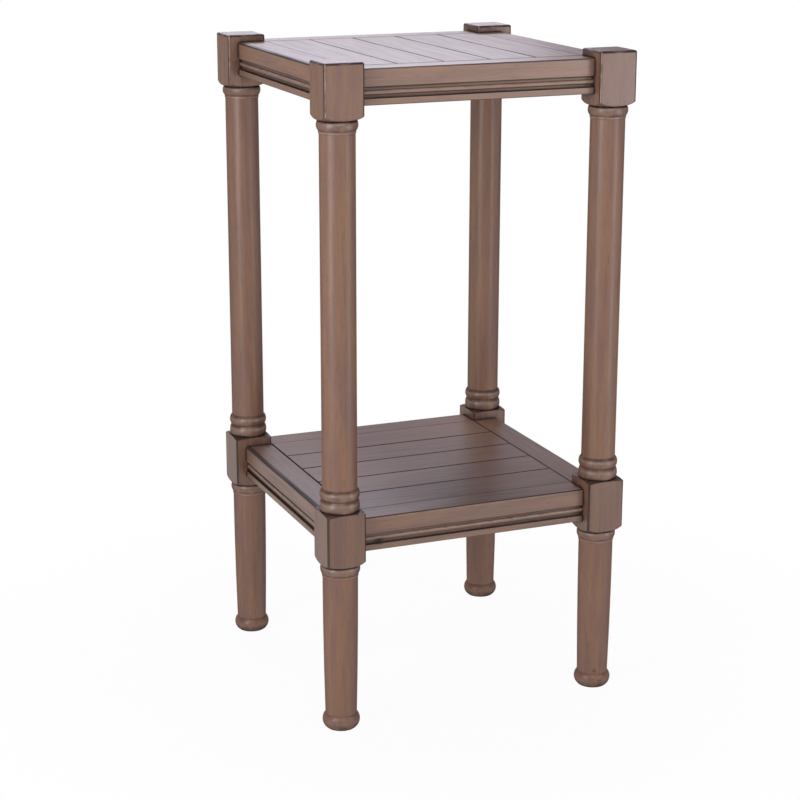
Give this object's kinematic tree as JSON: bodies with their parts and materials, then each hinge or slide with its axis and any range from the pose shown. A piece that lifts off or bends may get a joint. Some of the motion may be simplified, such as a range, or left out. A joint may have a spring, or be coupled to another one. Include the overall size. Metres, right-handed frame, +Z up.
{
  "type": "end table",
  "caption": "Tall square wooden end table with turned posts, a framed plank top, a matching lower shelf and moulded aprons, for a lamp or small things.",
  "frame": {"origin": "on the floor under the middle of the table", "axes": "+Z up; the front faces -Y; +X points to the right of someone who looks at the front"},
  "size_m": [0.35, 0.35, 0.72],
  "materials": {
    "post_wood": "grey-brown stain with dark antique glaze under satin lacquer",
    "plank_wood_along_x": "grey-brown stain with dark antique glaze under satin lacquer",
    "plank_wood_along_y": "grey-brown stain with dark antique glaze under satin lacquer",
    "border_wood_along_x": "grey-brown stain with dark antique glaze under satin lacquer",
    "border_wood_along_y": "grey-brown stain with dark antique glaze under satin lacquer",
    "apron_wood_along_x": "grey-brown stain with dark antique glaze under satin lacquer",
    "apron_wood_along_y": "grey-brown stain with dark antique glaze under satin lacquer",
    "inner_wood": "stained, no glaze",
    "dowel_wood": "bare beech",
    "zinc_steel": "zinc plated",
    "glide_plastic": "matte"
  },
  "bodies": {
    "root": {"post_front_left": "post_wood", "post_front_right": "post_wood", "post_back_left": "post_wood", "post_back_right": "post_wood", "foot_glides": "glide_plastic", "top_plank_1": "plank_wood_along_y", "top_plank_2": "plank_wood_along_y", "top_plank_3": "plank_wood_along_y", "top_plank_4": "plank_wood_along_y", "top_plank_5": "plank_wood_along_y", "top_side_board_left": "border_wood_along_y", "top_side_board_right": "border_wood_along_y", "top_end_board_front": "border_wood_along_x", "top_end_board_back": "border_wood_along_x", "top_apron_right": "apron_wood_along_y", "top_apron_back": "apron_wood_along_x", "top_apron_left": "apron_wood_along_y", "top_apron_front": "apron_wood_along_x", "top_batten": "inner_wood", "top_brace_front_left": "inner_wood", "top_brace_front_right": "inner_wood", "top_brace_back_left": "inner_wood", "top_brace_back_right": "inner_wood", "top_apron_dowels": "dowel_wood", "top_brace_screws": "zinc_steel", "top_batten_screws": "zinc_steel", "top_hanger_bolts": "zinc_steel", "top_hanger_washers": "zinc_steel", "top_hanger_nuts": "zinc_steel", "shelf_plank_1": "plank_wood_along_x", "shelf_plank_2": "plank_wood_along_x", "shelf_plank_3": "plank_wood_along_x", "shelf_plank_4": "plank_wood_along_x", "shelf_plank_5": "plank_wood_along_x", "shelf_side_board_front": "border_wood_along_x", "shelf_side_board_back": "border_wood_along_x", "shelf_end_board_left": "border_wood_along_y", "shelf_end_board_right": "border_wood_along_y", "shelf_apron_right": "apron_wood_along_y", "shelf_apron_back": "apron_wood_along_x", "shelf_apron_left": "apron_wood_along_y", "shelf_apron_front": "apron_wood_along_x", "shelf_batten": "inner_wood", "shelf_brace_front_left": "inner_wood", "shelf_brace_front_right": "inner_wood", "shelf_brace_back_left": "inner_wood", "shelf_brace_back_right": "inner_wood", "shelf_apron_dowels": "dowel_wood", "shelf_brace_screws": "zinc_steel", "shelf_batten_screws": "zinc_steel", "shelf_hanger_bolts": "zinc_steel", "shelf_hanger_washers": "zinc_steel", "shelf_hanger_nuts": "zinc_steel"}
  },
  "joints": []
}
